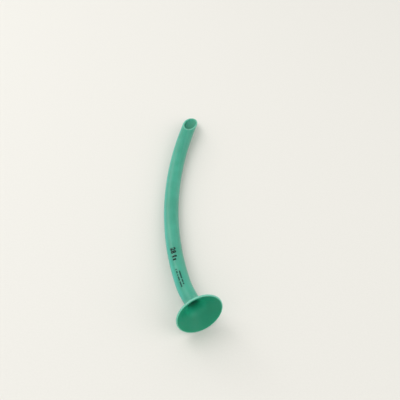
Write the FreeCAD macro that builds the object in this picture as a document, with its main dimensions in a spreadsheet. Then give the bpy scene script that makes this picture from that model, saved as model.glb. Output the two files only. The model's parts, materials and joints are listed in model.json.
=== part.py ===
import FreeCAD, Part
import Sketcher
import math
import os
from FreeCAD import Placement, Rotation, Vector

# Nasopharyngeal airway, 28 French: one soft moulding, with a trumpet flange, a short neck that
# sets the flange at a slight angle, a long gently bent tube and a bevelled tip with rounded lips.
#
# In the body's own frame the middle of the rim is at the origin, the neck runs along +Y and the
# tube bends towards +X in the XY plane. The body is then laid on the floor as it comes to rest,
# with the tip straight ahead of the rim along +Y.

SIZES = [
    ("tube_outside_dia", 9.33, "28 French"),
    ("bore_dia", 7.0, "the clear way for air or a catheter"),
    ("overall_length", 172.5, "rim to tip, along the middle of the tube"),
    ("neck_run", 5.0, "straight tube behind the flange"),
    ("neck_bend_radius", 60.0, "to the middle of the tube"),
    ("neck_bend_angle", 9.0, "flange's axis to the start of the long bend, degrees"),
    ("bend_radius", 221.0, "to the middle of the tube"),
    ("flange_dia", 28.5, "over the rim"),
    ("flange_depth", 11.5, "rim to the tube's full section"),
    ("flare_radius", 7.0, "outer side, where the tube opens into the flange"),
    ("rim_wall", 1.1, "rounded over its whole thickness"),
    ("bevel_angle", 27.0, "tip's cut to the tube's axis, degrees"),
    ("bevel_turn", 25.0, "cut turned round the tube, to the inside of the bend, degrees"),
    ("lip_round", 0.4, "both edges of the cut wall"),
]

NODE = "nasal_airway"

# The lengths of the two bends, along the middle of the tube.
NECK_ARC = "Sizes.neck_bend_radius * Sizes.neck_bend_angle * pi / 180"
LONG_ARC = f"(Sizes.overall_length - Sizes.flange_depth - Sizes.neck_run - {NECK_ARC})"

# The tube is drawn one diameter past the tip, for the cut to take off.
ARC_WITH_WASTE = f"({LONG_ARC} + Sizes.tube_outside_dia)"

# A lip's rounding takes less than half of the wall that it shares with the other lip, and in the
# plane of the cut it reaches less far than the radius of the lip's own curve at the far end.
LIP_SHARE_OF_WALL = 0.45
LIP_SHARE_OF_CURVE = 0.9

ON_PLANE = 1e-4
ROLL_SEARCH = (-60.0, 0.0)
PITCH_SEARCH = (-45.0, 45.0)
SEARCH_STEPS = 60


def make_sheet(doc):
    """The driving dimensions, one to a row: name, value, meaning."""
    sheet = doc.addObject("Spreadsheet::Sheet", "Sizes")
    for row, (name, value, meaning) in enumerate(SIZES, start=1):
        sheet.set(f"A{row}", name)
        sheet.set(f"B{row}", str(value))
        sheet.set(f"C{row}", meaning)
        sheet.setAlias(f"B{row}", name)
    doc.recompute()
    return sheet


def new_sketch(body, name, role):
    """A sketch on one of the body's own origin planes."""
    plane = next(item for item in body.Origin.OriginFeatures if item.Role == role)
    sketch = body.newObject("Sketcher::SketchObject", name)
    sketch.AttachmentSupport = [(plane, "")]
    sketch.MapMode = "FlatFace"
    return sketch


def add_line(sketch, start, end):
    return sketch.addGeometry(Part.LineSegment(start, end))


def add_arc(sketch, centre, radius, start, end):
    """An arc that runs anticlockwise between two angles in radians."""
    circle = Part.Circle(centre, Vector(0, 0, 1), radius)
    return sketch.addGeometry(Part.ArcOfCircle(circle, start, end))


def add_rules(sketch, *rules):
    for rule in rules:
        sketch.addConstraint(Sketcher.Constraint(*rule))


def add_dimension(sketch, name, expression, *rule):
    """Adds a named dimension and ties it to the sheet."""
    index = sketch.addConstraint(Sketcher.Constraint(*rule))
    sketch.renameConstraint(index, name)
    sketch.setExpression(f"Constraints.{name}", expression)


def make_trumpet(body, sheet):
    """The flange, turned about the neck's axis. In the profile x is the radius and y runs back
    from the rim. Outside and inside are each a straight side that an arc leads into the tube,
    and the two sides are parallel and meet in the rim's bead."""
    outside, bore, depth = sheet.tube_outside_dia / 2, sheet.bore_dia / 2, sheet.flange_depth
    bead = sheet.rim_wall / 2
    bead_centre = Vector(sheet.flange_dia / 2 - bead, bead, 0)
    outer_radius = sheet.flare_radius
    outer_centre = Vector(outside + outer_radius, depth, 0)

    # The straight side touches the bead on one side and the outer arc on the other.
    span = outer_centre - bead_centre
    flare = math.atan2(span.y, span.x) - math.acos((outer_radius + bead) / span.Length)
    across = Vector(math.cos(flare), math.sin(flare), 0)
    outer_rim = bead_centre + across * bead
    outer_foot = outer_centre - across * outer_radius
    inner_rim = bead_centre - across * bead
    inner_radius = (Vector(bore, depth, 0) - inner_rim).dot(across) / (1 - across.x)
    inner_centre = Vector(bore + inner_radius, depth, 0)
    inner_foot = inner_centre - across * inner_radius

    sketch = new_sketch(body, "trumpet_profile", "XY_Plane")
    outer_cone = add_line(sketch, outer_rim, outer_foot)
    outer_arc = add_arc(sketch, outer_centre, outer_radius, math.pi, math.pi + flare)
    throat = add_line(sketch, Vector(outside, depth, 0), Vector(bore, depth, 0))
    inner_arc = add_arc(sketch, inner_centre, inner_radius, math.pi, math.pi + flare)
    inner_cone = add_line(sketch, inner_foot, inner_rim)
    rim_bead = add_arc(sketch, bead_centre, bead, math.pi + flare, 2 * math.pi + flare)
    add_rules(
        sketch,
        ("Tangent", outer_cone, 2, outer_arc, 2),
        ("Perpendicular", outer_arc, 1, throat, 1),
        ("Perpendicular", throat, 2, inner_arc, 1),
        ("Tangent", inner_arc, 2, inner_cone, 1),
        ("Tangent", inner_cone, 2, rim_bead, 1),
        ("Tangent", rim_bead, 2, outer_cone, 1),
        ("Horizontal", throat),
        ("Parallel", outer_cone, inner_cone),
    )
    add_dimension(sketch, "outside_radius", "Sizes.tube_outside_dia / 2",
                  "DistanceX", -1, 1, throat, 1, outside)
    add_dimension(sketch, "bore_radius", "Sizes.bore_dia / 2",
                  "DistanceX", -1, 1, throat, 2, bore)
    add_dimension(sketch, "depth", "Sizes.flange_depth",
                  "DistanceY", -1, 1, throat, 1, depth)
    add_dimension(sketch, "flare", "Sizes.flare_radius",
                  "Radius", outer_arc, outer_radius)
    add_dimension(sketch, "bead", "Sizes.rim_wall / 2",
                  "Radius", rim_bead, bead)
    add_dimension(sketch, "bead_out", "(Sizes.flange_dia - Sizes.rim_wall) / 2",
                  "DistanceX", -1, 1, rim_bead, 3, bead_centre.x)
    add_dimension(sketch, "bead_back", "Sizes.rim_wall / 2",
                  "DistanceY", -1, 1, rim_bead, 3, bead_centre.y)

    trumpet = body.newObject("PartDesign::Revolution", "trumpet")
    trumpet.Profile = sketch
    trumpet.ReferenceAxis = (sketch, ["V_Axis"])
    trumpet.Angle = 360


def tube_bends(sheet):
    """Where the neck's bend starts, the centres of the two bends, and the angles from the neck's
    axis, in radians, at which the long bend starts and reaches the tip."""
    neck_end = Vector(0, sheet.flange_depth + sheet.neck_run, 0)
    neck_turn = math.radians(sheet.neck_bend_angle)
    neck_centre = neck_end + Vector(sheet.neck_bend_radius, 0, 0)
    outward = Vector(-math.cos(neck_turn), math.sin(neck_turn), 0)
    long_centre = neck_centre + outward * (sheet.neck_bend_radius - sheet.bend_radius)
    long_arc = sheet.overall_length - neck_end.y - sheet.neck_bend_radius * neck_turn
    return neck_end, neck_centre, long_centre, neck_turn, neck_turn + long_arc / sheet.bend_radius


def make_tube(body, sheet):
    """The tube: its ring-shaped section, at the flange's throat, run along the centre line."""
    neck_end, neck_centre, long_centre, neck_turn, tip_turn = tube_bends(sheet)
    waste_turn = sheet.tube_outside_dia / sheet.bend_radius
    path = new_sketch(body, "centre_line", "XY_Plane")
    neck = add_line(path, Vector(0, sheet.flange_depth, 0), neck_end)
    neck_bend = add_arc(path, neck_centre, sheet.neck_bend_radius, math.pi - neck_turn, math.pi)
    long_bend = add_arc(path, long_centre, sheet.bend_radius,
                        math.pi - tip_turn - waste_turn, math.pi - neck_turn)
    add_rules(
        path,
        ("PointOnObject", neck, 1, -2),
        ("Vertical", neck),
        ("Tangent", neck, 2, neck_bend, 2),
        ("Tangent", neck_bend, 1, long_bend, 2),
    )
    add_dimension(path, "start", "Sizes.flange_depth",
                  "DistanceY", -1, 1, neck, 1, sheet.flange_depth)
    add_dimension(path, "neck", "Sizes.neck_run",
                  "DistanceY", neck, 1, neck, 2, sheet.neck_run)
    add_dimension(path, "neck_radius", "Sizes.neck_bend_radius",
                  "Radius", neck_bend, sheet.neck_bend_radius)
    add_dimension(path, "neck_turn", "Sizes.neck_bend_angle * 1 deg",
                  "Angle", neck_bend, neck_turn)
    add_dimension(path, "long_radius", "Sizes.bend_radius",
                  "Radius", long_bend, sheet.bend_radius)
    add_dimension(path, "long_turn", f"{ARC_WITH_WASTE} / Sizes.bend_radius * 1 rad",
                  "Angle", long_bend, tip_turn - neck_turn + waste_turn)

    section = new_sketch(body, "tube_section", "XZ_Plane")
    section.setExpression("AttachmentOffset.Base.z", "-Sizes.flange_depth")
    middle, normal = Vector(), Vector(0, 0, 1)
    outside = section.addGeometry(Part.Circle(middle, normal, sheet.tube_outside_dia / 2))
    bore = section.addGeometry(Part.Circle(middle, normal, sheet.bore_dia / 2))
    add_rules(
        section,
        ("Coincident", outside, 3, -1, 1),
        ("Coincident", bore, 3, -1, 1),
    )
    add_dimension(section, "outside", "Sizes.tube_outside_dia",
                  "Diameter", outside, sheet.tube_outside_dia)
    add_dimension(section, "bore", "Sizes.bore_dia",
                  "Diameter", bore, sheet.bore_dia)

    tube = body.newObject("PartDesign::AdditivePipe", "tube")
    tube.Profile = section
    tube.Spine = (path, ["Edge1", "Edge2", "Edge3"])
    return path, tube


def cut_tip(body, sheet, path):
    """The slanted cut. Its sketch lies in the plane of the cut, with the origin on the lip that
    reaches furthest and y along the tube, and takes off what stands in front of that plane."""
    sketch = body.newObject("Sketcher::SketchObject", "tip_cut")
    sketch.AttachmentSupport = [(path, "Edge3")]
    sketch.MapMode = "NormalToEdge"
    # The long bend's edge starts at its far end, so the tip is this far along it.
    sketch.setExpression("MapPathParameter", f"Sizes.tube_outside_dia / {ARC_WITH_WASTE}")
    for place, expression in (
        ("Base.x", "Sizes.tube_outside_dia / 2 * sin(Sizes.bevel_turn * 1 deg)"),
        ("Base.y", "-Sizes.tube_outside_dia / 2 * cos(Sizes.bevel_turn * 1 deg)"),
        ("Rotation.Yaw", "(mod(Sizes.bevel_turn + 360; 360) - 180) * 1 deg"),
        ("Rotation.Roll", "90 deg - Sizes.bevel_angle * 1 deg"),
    ):
        sketch.setExpression(f"AttachmentOffset.{place}", expression)

    side = sheet.tube_outside_dia
    cut_length = side / math.sin(math.radians(sheet.bevel_angle))
    corners = [Vector(-side, -cut_length - side, 0), Vector(side, -cut_length - side, 0),
               Vector(side, 2 * side, 0), Vector(-side, 2 * side, 0)]
    near, right, far, left = [add_line(sketch, start, end)
                              for start, end in zip(corners, corners[1:] + corners[:1])]
    add_rules(
        sketch,
        ("Coincident", near, 2, right, 1),
        ("Coincident", right, 2, far, 1),
        ("Coincident", far, 2, left, 1),
        ("Coincident", left, 2, near, 1),
        ("Horizontal", near),
        ("Horizontal", far),
        ("Vertical", left),
        ("Vertical", right),
    )
    add_dimension(sketch, "right", "Sizes.tube_outside_dia",
                  "DistanceX", -1, 1, near, 2, side)
    add_dimension(sketch, "left", "Sizes.tube_outside_dia",
                  "DistanceX", near, 1, -1, 1, side)
    add_dimension(sketch, "back", "Sizes.tube_outside_dia * (1 + 1 / sin(Sizes.bevel_angle * 1 deg))",
                  "DistanceY", near, 1, -1, 1, cut_length + side)
    add_dimension(sketch, "ahead", "2 * Sizes.tube_outside_dia",
                  "DistanceY", -1, 1, far, 1, 2 * side)

    cut = body.newObject("PartDesign::Pocket", "tip_bevel")
    cut.Profile = sketch
    cut.Reversed = True
    cut.setExpression("Length", "2 * Sizes.tube_outside_dia")
    return cut


def round_lips(body, cut):
    """Rounds the outer and the inner edge of the wall where it is cut."""
    plane = cut.Profile[0].Placement
    facing = plane.Rotation.multVec(Vector(0, 0, 1))

    def lies_in_cut(edge):
        return all(abs((point - plane.Base).dot(facing)) < ON_PLANE for point in edge.discretize(5))

    lips = [f"Edge{number}" for number, edge in enumerate(cut.Shape.Edges, start=1)
            if lies_in_cut(edge)]
    fillet = body.newObject("PartDesign::Fillet", "tip_lips")
    fillet.Base = (cut, lips)
    wall = "(Sizes.tube_outside_dia - Sizes.bore_dia) / 2"
    slant = "(Sizes.bevel_angle * 1 deg)"
    curve = f"Sizes.tube_outside_dia / 2 * sin{slant} * tan({slant} / 2)"
    fillet.setExpression("Radius", f"min(Sizes.lip_round; {LIP_SHARE_OF_WALL} * {wall}; "
                                   f"{LIP_SHARE_OF_CURVE} * {curve})")


def resting_turn(sheet, centre_of_mass):
    """How the airway is turned when it lies still, with its rim and the bowed side of its tube on
    the floor. For each roll about the neck one pitch lets both touch, and of these poses the one
    with the lowest centre of mass is at rest."""
    bead = sheet.rim_wall / 2
    bead_circle = sheet.flange_dia / 2 - bead
    _, _, long_centre, neck_turn, tip_turn = tube_bends(sheet)

    def tube_middle(angle):
        return long_centre + Vector(-math.cos(angle), math.sin(angle), 0) * sheet.bend_radius

    def rim_reach(down):
        return bead * down.y + bead_circle * math.hypot(down.x, down.z) + bead

    def tube_reach(down):
        lowest = min(max(math.atan2(down.y, -down.x), neck_turn), tip_turn)
        along = Vector(math.sin(lowest), math.cos(lowest), 0)
        outside = sheet.tube_outside_dia / 2 * math.sqrt(1 - along.dot(down) ** 2)
        return tube_middle(lowest).dot(down) + outside

    def turn_at(roll):
        low, high = PITCH_SEARCH
        for _ in range(SEARCH_STEPS):
            pitch = (low + high) / 2
            turn = Rotation(Vector(1, 0, 0), pitch) * Rotation(Vector(0, 1, 0), roll)
            down = turn.inverted().multVec(Vector(0, 0, -1))
            if rim_reach(down) > tube_reach(down):
                high = pitch
            else:
                low = pitch
        return turn, turn.multVec(centre_of_mass).z + rim_reach(down)

    low, high = ROLL_SEARCH
    for _ in range(SEARCH_STEPS):
        third = (high - low) / 3
        if turn_at(low + third)[1] < turn_at(high - third)[1]:
            high -= third
        else:
            low += third
    turn = turn_at(low)[0]

    tip = turn.multVec(tube_middle(tip_turn))
    heading = math.degrees(math.atan2(tip.x, tip.y))
    return Rotation(Vector(0, 0, 1), heading) * turn


def lay_down(body, sheet):
    """Puts the turned airway on the floor, with the middle of its outline over the origin."""
    body.Placement = Placement(Vector(), resting_turn(sheet, body.Shape.Solids[0].CenterOfMass))
    box = body.Shape.optimalBoundingBox(False, False)
    body.Placement.Base = Vector(-box.Center.x, -box.Center.y, -box.ZMin)


def check(doc, body, uncut, cut):
    for item in doc.Objects:
        if "Invalid" in item.State or "Error" in item.State:
            raise RuntimeError(f"{item.Name} failed: {item.State}")
    if not cut.Shape.Volume < uncut.Shape.Volume:
        raise RuntimeError("the tip isn't cut")
    if body.Shape.isNull() or not body.Shape.isValid() or len(body.Shape.Solids) != 1:
        raise RuntimeError("the airway isn't one valid solid")


def main():
    doc = FreeCAD.newDocument("nasopharyngeal_airway")
    sheet = make_sheet(doc)
    body = doc.addObject("PartDesign::Body", NODE)
    body.Label = NODE
    make_trumpet(body, sheet)
    path, tube = make_tube(body, sheet)
    doc.recompute()
    cut = cut_tip(body, sheet, path)
    doc.recompute()
    round_lips(body, cut)
    doc.recompute()
    lay_down(body, sheet)
    doc.recompute()
    check(doc, body, tube, cut)

    os.makedirs("parts", exist_ok=True)
    body.Shape.exportStep(f"parts/{NODE}.step")
    print(f"{NODE}: {body.Shape.Volume:.1f} mm3, {body.Shape.optimalBoundingBox(False, False)}")


main()
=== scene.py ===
import json
import math

import bmesh
import bpy
from mathutils import Matrix, Vector
from mathutils.bvhtree import BVHTree


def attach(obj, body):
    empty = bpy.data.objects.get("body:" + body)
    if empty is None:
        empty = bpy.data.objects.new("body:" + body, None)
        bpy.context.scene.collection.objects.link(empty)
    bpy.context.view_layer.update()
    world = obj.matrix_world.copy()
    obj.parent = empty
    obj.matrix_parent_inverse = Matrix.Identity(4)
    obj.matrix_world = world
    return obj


# A nasopharyngeal airway in soft green PVC, lying on a pale surface, with its size printed in dark
# ink on the tube. Places are in millimetres where they are written, and in metres in the scene.

MM = 0.001

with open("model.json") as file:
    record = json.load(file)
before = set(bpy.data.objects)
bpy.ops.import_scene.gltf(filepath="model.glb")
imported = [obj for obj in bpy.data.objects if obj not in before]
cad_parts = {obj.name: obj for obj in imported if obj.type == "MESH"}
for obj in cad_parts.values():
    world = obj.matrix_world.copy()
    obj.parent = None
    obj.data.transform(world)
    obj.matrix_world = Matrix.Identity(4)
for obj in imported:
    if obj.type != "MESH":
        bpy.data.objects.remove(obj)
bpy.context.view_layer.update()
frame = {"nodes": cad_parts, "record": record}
airway = frame["nodes"]["nasal_airway"]
bore = next(mount for mount in frame["record"]["mounts"] if mount["name"] == "bore")

# The flange: a point on its axis in the neck, the way out of its mouth, and the rim's radius.
NECK = Vector(bore["pos_m"]) / MM
MOUTH = Vector(bore["axis"]).normalized()
RIM_RADIUS = 14.25

# The flange's wall starts at THROAT, which is that far out from NECK, and curls outwards through
# the angle of the flare until it is CURL_END from the axis. Then it runs straight to the rim. The
# middle of the curl is CURL_MIDDLE from the axis, and its inner side has the radius INNER_CURL.
THROAT = 2.5
FLARE = math.radians(53.2)
CURL_MIDDLE, CURL_END, INNER_CURL = 11.6, 7.1, 8.0

# The long bend of the tube: its centre, the axis through it and the radius to the tube's middle.
# From the centre, OUTWARD points at the tube about half way along, and TOWARDS_TIP is square to it.
BEND_CENTRE = Vector((194.001, 3.2988, 84.1666))
BEND_AXIS = Vector((0.35826, -0.03252, -0.93305)).normalized()
BEND_RADIUS = 221.0
TOWARDS_TIP = Vector((0, 0, 1)).cross(BEND_AXIS).normalized()
OUTWARD = TOWARDS_TIP.cross(BEND_AXIS)
TUBE_RADIUS = 4.665
BORE_RADIUS = 3.5

# The plane of the slanted cut.
CUT_POINT = Vector((2.0842, 82.4864, 5.6596))
CUT_FACING = Vector((0.19964, 0.30397, 0.93153)).normalized()

# The print reads towards the flange. Each row has a start along the tube, measured from OUTWARD
# towards the tip, an angle in degrees for its foot, measured from the bend's axis towards the
# outside of the bend, and a height. Bars are given by where they begin and end in their row, and
# those of the unit by their height as well.
MARK_START, MARK_FOOT, MARK_HEIGHT = -54.4, 167.5, 2.9
UNIT_BARS = ((6.2, 7.6, 2.9), (8.6, 9.9, 2.1))
LOWER_ROW = (-71.0, 167.5, 0.85, ((0.0, 0.9), (1.7, 3.6), (4.3, 5.4), (6.0, 9.3), (10.0, 14.4)))
UPPER_ROW = (-73.1, 187.5, 0.85, ((0.0, 6.2), (6.9, 9.1), (9.6, 10.9)))

# The figures are this share of their font's size high, and are made bolder and set wider.
FIGURE_SHARE, FIGURE_BOLDER, FIGURE_SPACING = 0.7, 0.22, 1.14

# Ink stands this high over the tube and reaches as far into it. Flat print is cut into pieces this
# long and this high, so that it can follow the tube, and no row is longer than the last value.
INK_HEIGHT = 0.03
STRIP_LENGTH, STRIP_HEIGHT, LONGEST_ROW = 1.0, 0.3, 16.0

FLOOR_REACH = 40.0
ROOM_LIGHT = 0.82


def srgb(red, green, blue):
    """A colour as it is seen, 0 to 255, turned into the light values that a shader takes."""
    def light(value):
        value /= 255
        return value / 12.92 if value <= 0.04045 else ((value + 0.055) / 1.055) ** 2.4
    return light(red), light(green), light(blue), 1.0


class Socket:
    """One output of a shader node. Numbers and single values combine with it by operators."""

    def __init__(self, graph, output):
        self.graph, self.output = graph, output

    def math(self, operation, *others):
        return self.graph.node("ShaderNodeMath", {"operation": operation}, [self, *others])

    def __add__(self, other):
        return self.math("ADD", other)

    __radd__ = __add__

    def __mul__(self, other):
        return self.math("MULTIPLY", other)

    __rmul__ = __mul__

    def __sub__(self, other):
        return self.math("SUBTRACT", other)

    def __rsub__(self, other):
        return (-self) + other

    def __neg__(self):
        return self.math("MULTIPLY", -1.0)

    def between(self, low, high):
        """0 below low, 1 above high, and smooth from one to the other."""
        return self.graph.node("ShaderNodeMapRange", {"interpolation_type": "SMOOTHSTEP"},
                               [self, low, high, 0.0, 1.0])

    def vector(self, operation, *others, output="Vector"):
        return self.graph.node("ShaderNodeVectorMath", {"operation": operation},
                               [self, *others], output)

    def dot(self, direction):
        return self.vector("DOT_PRODUCT", direction, output="Value")

    def length(self):
        return self.vector("LENGTH", output="Value")


class Graph:
    """A material's nodes."""

    def __init__(self, name):
        self.material = bpy.data.materials.new(name)
        self.material.use_nodes = True
        self.tree = self.material.node_tree
        self.tree.nodes.clear()

    def node(self, kind, settings=(), sockets=(), output=0):
        """Adds a node, sets it up, fills its inputs by place or by name, and gives one output."""
        made = self.tree.nodes.new(kind)
        for name, value in dict(settings).items():
            setattr(made, name, value)
        pairs = sockets.items() if isinstance(sockets, dict) else enumerate(sockets)
        for key, value in pairs:
            if isinstance(value, Socket):
                self.tree.links.new(value.output, made.inputs[key])
            else:
                made.inputs[key].default_value = value
        return Socket(self, made.outputs[output])

    def place(self):
        """Where a point of the surface is, in millimetres."""
        metres = self.node("ShaderNodeTexCoord", output="Object")
        return self.node("ShaderNodeVectorMath", {"operation": "SCALE"},
                         {"Vector": metres, "Scale": 1 / MM})

    def join(self, x, y, z):
        return self.node("ShaderNodeCombineXYZ", sockets=[x, y, z])

    def noise(self, place, scale, detail=3.0, roughness=0.5):
        return self.node("ShaderNodeTexNoise", sockets={
            "Vector": place, "Scale": scale, "Detail": detail, "Roughness": roughness})

    def without(self, place, along, direction):
        """A vector without its part along a direction."""
        return self.node("ShaderNodeVectorMath", {"operation": "MULTIPLY_ADD"},
                         [direction, self.join(-along, -along, -along), place])

    def mix(self, factor, first, second):
        """Blends two colours."""
        return self.node("ShaderNodeMix", {"data_type": "RGBA"},
                         {0: factor, 6: first, 7: second}, output=2)

    def bump(self, height, strength):
        return self.node("ShaderNodeBump", sockets={
            "Strength": strength, "Distance": 0.1 * MM, "Height": height})

    def finish(self, **sockets):
        """The shader, with underscores for the spaces in its inputs' names."""
        named = {name.replace("_", " "): value for name, value in sockets.items()}
        shader = self.node("ShaderNodeBsdfPrincipled", sockets=named)
        output = self.tree.nodes.new("ShaderNodeOutputMaterial")
        self.tree.links.new(shader.output, output.inputs["Surface"])
        return self.material


def soft_pvc():
    """Semi-gloss soft PVC: green, clouded a little, with faint flow lines along the tube in its
    bump.
    Painted light and shade are in its colour: greyer streaks along the tube as painted reflections,
    a painted turquoise sheen on the outside of the bend, a pale rim and pale cut lips as painted
    light through the thin edges, painted shade deeper inside the flange and the bore, and painted
    light round the flange's throat."""
    g = Graph("soft_pvc")
    place = g.place()

    # Places round the flange's axis.
    from_neck = place.vector("SUBTRACT", NECK)
    towards_rim = from_neck.dot(MOUTH)
    from_axis = g.without(from_neck, towards_rim, MOUTH).length()
    in_flange = towards_rim.between(THROAT - 1.0, THROAT + 2.0)

    # How far a place in the flange's wall is from the middle of the curl, or past the curl from a
    # line through that middle: about a millimetre more on the inner side than on the outer one.
    inward = CURL_MIDDLE - from_axis
    out = towards_rim - THROAT
    round_curl = g.join(inward, out, 0.0).length()
    past_curl = inward * math.cos(FLARE) + out * math.sin(FLARE)
    is_past = from_axis.between(CURL_END - 0.2, CURL_END + 0.2)
    in_wall = round_curl + (past_curl - round_curl) * is_past
    funnel = in_flange * in_wall.between(INNER_CURL - 0.18, INNER_CURL)
    painted_throat_light = funnel * (1 - from_axis.between(BORE_RADIUS, BORE_RADIUS + 4.5))
    rim = from_axis.between(RIM_RADIUS - 0.9, RIM_RADIUS - 0.5) * in_flange

    # Places along and round the long bend. In tube_place the length of the tube counts for little,
    # so that a pattern on it is drawn out along the tube.
    from_centre = place.vector("SUBTRACT", BEND_CENTRE)
    over_plane = from_centre.dot(BEND_AXIS)
    flat = g.without(from_centre, over_plane, BEND_AXIS)
    out_of_bend = flat.length() - BEND_RADIUS
    turn = flat.dot(TOWARDS_TIP).math("ARCTAN2", flat.dot(OUTWARD))
    along = turn * BEND_RADIUS
    to_middle = g.join(over_plane, out_of_bend, 0.0).length()
    in_bore = (1 - to_middle.between(BORE_RADIUS + 0.1, BORE_RADIUS + 0.5)) * (1 - in_flange)
    tube_place = g.join(over_plane, out_of_bend, along * 0.06)
    painted_sheen_side = out_of_bend.between(1.0, 3.2) * (1 - in_flange)

    # The slanted cut's face and its rounded lips.
    over_cut = place.vector("SUBTRACT", CUT_POINT).dot(CUT_FACING)
    cut_face = over_cut.between(-0.3, -0.02)

    clouds = g.noise(place, 0.055)
    reflection_streaks = g.noise(tube_place, 0.55, 4.0, 0.55)
    grain = g.noise(place, 1.7, 3.0, 0.6)
    flow = g.noise(tube_place, 3.2, 2.0)

    colour = g.mix(clouds.between(0.3, 0.7), srgb(48, 148, 122), srgb(60, 162, 136))
    # Greyer streaks drawn out along the tube: a painted reflection, for the soft long reflections
    # along it.
    colour = g.mix(reflection_streaks.between(0.42, 0.72) * 0.45, colour, srgb(82, 160, 140))
    colour = g.mix(grain.between(0.5, 0.8) * 0.12, colour, srgb(98, 174, 150))
    # The outside of the bend is painted lighter and more turquoise: a painted sheen, for the light
    # reflected along that side of the tube.
    colour = g.mix(painted_sheen_side * 0.62, colour, srgb(50, 184, 168))
    # Inside the flange the green is painted deeper and darker: painted shade in the hollow of the
    # funnel.
    colour = g.mix(funnel * 0.96, colour, srgb(0, 141, 105))
    # Round the throat the green is painted lighter again: painted light, for light coming through
    # the thin wall into the deep funnel.
    colour = g.mix(painted_throat_light * 0.8, colour, srgb(40, 180, 142))
    # Inside the bore the green is painted darker: painted shade in the hollow of the tube.
    colour = g.mix(in_bore * 0.7, colour, srgb(48, 140, 110))
    # The rim is painted pale: painted light, for light shining through its thin edge.
    colour = g.mix(rim * 0.65, colour, srgb(136, 204, 184))
    # The slanted cut's face and lips are painted pale: painted light, for light shining through the
    # thin wall there.
    colour = g.mix(cut_face * 0.5, colour, srgb(112, 186, 162))

    return g.finish(
        Base_Color=colour,
        Roughness=0.3 + 0.1 * clouds + 0.08 * reflection_streaks + 0.05 * rim,
        IOR=1.53,
        Specular_IOR_Level=0.32,
        Subsurface_Weight=0.5,
        Subsurface_Radius=(0.35, 1.0, 0.75),
        Subsurface_Scale=2.0 * MM,
        Coat_Weight=0.22 * (1 - funnel),
        Coat_Roughness=0.15,
        Normal=g.bump(0.6 * grain + 0.4 * flow, 0.12),
    )


def printing_ink(name, colour, cover):
    """Dark ink, thin in places, so that some of the green shows through."""
    g = Graph(name)
    place = g.place()
    thin = g.noise(place, 1.9, 4.0, 0.6).between(0.45, 0.75)
    pores = g.noise(place, 9.0, 2.0).between(0.5, 0.8)
    shade = g.mix(thin * (1 - cover) + pores * 0.1, colour, srgb(62, 140, 116))
    return g.finish(Base_Color=shade, Roughness=0.46 + 0.14 * pores, Specular_IOR_Level=0.2,
                    Normal=g.bump(pores, 0.1))


def pale_surface():
    g = Graph("pale_surface")
    grain = g.noise(g.place(), 0.9, 2.0)
    return g.finish(Base_Color=g.mix(grain, srgb(226, 224, 217), srgb(221, 219, 212)),
                    Roughness=0.6)


def tube_point(along, angle, tree, lift):
    """A point over the tube's outside, so far along its bend and at an angle (radians) round it."""
    turn = along / BEND_RADIUS
    out = OUTWARD * math.cos(turn) + TOWARDS_TIP * math.sin(turn)
    middle = BEND_CENTRE + out * BEND_RADIUS
    away = BEND_AXIS * math.cos(angle) + out * math.sin(angle)
    seat, *_ = tree.ray_cast((middle + away * 2 * TUBE_RADIUS) * MM, -away)
    return seat + away * lift * MM


def wrap_print(bm, start, foot, height):
    """Cuts flat print into strips, gives it a thickness and lays it round the tube. In the flat
    print x runs along a row and y up from the foot of the letters."""
    for way, step, reach in ((Vector((1, 0, 0)), STRIP_LENGTH, LONGEST_ROW),
                             (Vector((0, 1, 0)), STRIP_HEIGHT, height)):
        for count in range(1, int(reach / step) + 1):
            bmesh.ops.bisect_plane(bm, geom=bm.verts[:] + bm.edges[:] + bm.faces[:], dist=1e-5,
                                   plane_co=way * step * count, plane_no=way)
    film = bmesh.ops.extrude_face_region(bm, geom=bm.faces[:])
    top = [item for item in film["geom"] if isinstance(item, bmesh.types.BMVert)]
    bmesh.ops.translate(bm, verts=top, vec=(0, 0, 2 * INK_HEIGHT))
    bmesh.ops.translate(bm, verts=bm.verts[:], vec=(0, 0, -INK_HEIGHT))
    bmesh.ops.recalc_face_normals(bm, faces=bm.faces[:])
    for face in bm.faces:
        face.smooth = abs(face.normal.z) > 0.5

    body = bmesh.new()
    body.from_mesh(airway.data)
    tree = BVHTree.FromBMesh(body)
    body.free()
    for vert in bm.verts:
        across, up, lift = vert.co
        vert.co = tube_point(start - across, math.radians(foot) + up / TUBE_RADIUS, tree, lift)


def add_print(name, bm, material):
    """Makes a piece of what has been wrapped round the tube."""
    data = bpy.data.meshes.new(name)
    bm.to_mesh(data)
    bm.free()
    data.materials.append(material)
    piece = bpy.data.objects.new(name, data)
    bpy.context.scene.collection.objects.link(piece)
    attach(piece, "root")


def add_bar(bm, low, high, height):
    """A flat bar with rounded corners."""
    made = bmesh.ops.create_grid(bm, x_segments=1, y_segments=1, size=0.5)
    bmesh.ops.transform(bm, verts=made["verts"], matrix=Matrix.Translation(
        ((low + high) / 2, height / 2, 0)) @ Matrix.Diagonal((high - low, height, 1, 1)))
    bmesh.ops.bevel(bm, geom=made["verts"], affect="VERTICES", segments=3, profile=0.5, material=-1,
                    offset=0.3 * min(high - low, height))


def make_size_mark():
    """The size in plain figures, and two bars where its unit stands."""
    text = bpy.data.curves.new("size_mark", "FONT")
    text.body, text.size = "28", MARK_HEIGHT / FIGURE_SHARE
    text.offset, text.space_character = FIGURE_BOLDER, FIGURE_SPACING
    holder = bpy.data.objects.new("size_mark_text", text)
    flat = bpy.data.meshes.new_from_object(holder)
    bm = bmesh.new()
    bm.from_mesh(flat)
    bpy.data.objects.remove(holder)
    bpy.data.meshes.remove(flat)
    bmesh.ops.remove_doubles(bm, verts=bm.verts[:], dist=1e-4)
    for bar in UNIT_BARS:
        add_bar(bm, *bar)
    wrap_print(bm, MARK_START, MARK_FOOT, MARK_HEIGHT)
    add_print("size_mark", bm, printing_ink("mark_ink", srgb(2, 36, 30), 0.94))


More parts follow.
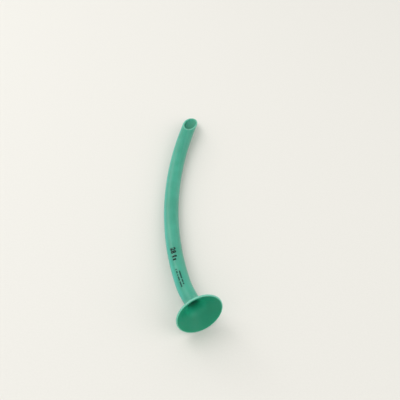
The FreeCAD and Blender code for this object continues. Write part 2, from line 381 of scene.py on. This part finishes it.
def make_row(name, start, foot, height, bars, material):
    """A row of small bars, where the airway has a line of small print."""
    bm = bmesh.new()
    for low, high in bars:
        add_bar(bm, low, high, height)
    wrap_print(bm, start, foot, height)
    add_print(name, bm, material)


def make_floor():
    bm = bmesh.new()
    bmesh.ops.create_grid(bm, x_segments=1, y_segments=1, size=FLOOR_REACH)
    data = bpy.data.meshes.new("floor")
    bm.to_mesh(data)
    bm.free()
    floor = bpy.data.objects.new("floor", data)
    bpy.context.scene.collection.objects.link(floor)
    data.materials.append(pale_surface())


def make_lamp(name, place, size, power):
    """A round soft lamp that points at the airway. Its place and size are in metres."""
    data = bpy.data.lights.new(name, "AREA")
    data.shape, data.size, data.energy = "DISK", size, power
    lamp = bpy.data.objects.new(name, data)
    lamp.location = place
    lamp.rotation_euler = (-Vector(place)).to_track_quat("-Z", "Y").to_euler()
    bpy.context.scene.collection.objects.link(lamp)


def make_lights():
    """Two broad lamps from above, one that gives the tube its line of sheen, and an even room."""
    make_lamp("key", (-0.45, 0.2, 0.85), 0.7, 2.8)
    make_lamp("fill", (0.7, -0.4, 0.7), 0.9, 1.8)
    make_lamp("sheen", (-0.65, 0.68, 0.5), 0.4, 1.0)
    world = bpy.data.worlds.new("room")
    world.use_nodes = True
    back = world.node_tree.nodes["Background"]
    back.inputs["Color"].default_value = (1.0, 1.0, 1.0, 1.0)
    back.inputs["Strength"].default_value = ROOM_LIGHT
    bpy.context.scene.world = world


def make_camera():
    """Where the photograph was taken from: what the camera looks at on the surface, how far off
    and how steeply, and how far it is turned round the airway and rolled."""
    aim, distance = Vector((6.252, 14.82, 0.0)) * MM, 511.94 * MM
    elevation, heading, roll = math.radians(50.0), 0.0415, 0.0277
    level = Vector((math.sin(heading), math.cos(heading), 0))
    ahead = level * math.cos(elevation) - Vector((0, 0, math.sin(elevation)))
    right = Vector((math.cos(heading), -math.sin(heading), 0))
    up = right.cross(ahead)
    right, up = (right * math.cos(roll) + up * math.sin(roll),
                 up * math.cos(roll) - right * math.sin(roll))
    data = bpy.data.cameras.new("camera")
    data.sensor_width, data.lens = 36.0, 70.84
    data.clip_start, data.clip_end = 0.01, 100.0
    camera = bpy.data.objects.new("camera", data)
    turn = Matrix((right, up, -ahead)).transposed().to_4x4()
    camera.matrix_world = Matrix.Translation(aim - ahead * distance) @ turn
    bpy.context.scene.collection.objects.link(camera)
    bpy.context.scene.camera = camera


airway.data.materials.clear()
airway.data.materials.append(soft_pvc())
make_size_mark()
row_ink = printing_ink("row_ink", srgb(14, 74, 64), 0.7)
make_row("lower_row", *LOWER_ROW, row_ink)
make_row("upper_row", *UPPER_ROW, row_ink)
make_floor()
make_lights()
make_camera()
bpy.context.scene.view_settings.view_transform = "Standard"
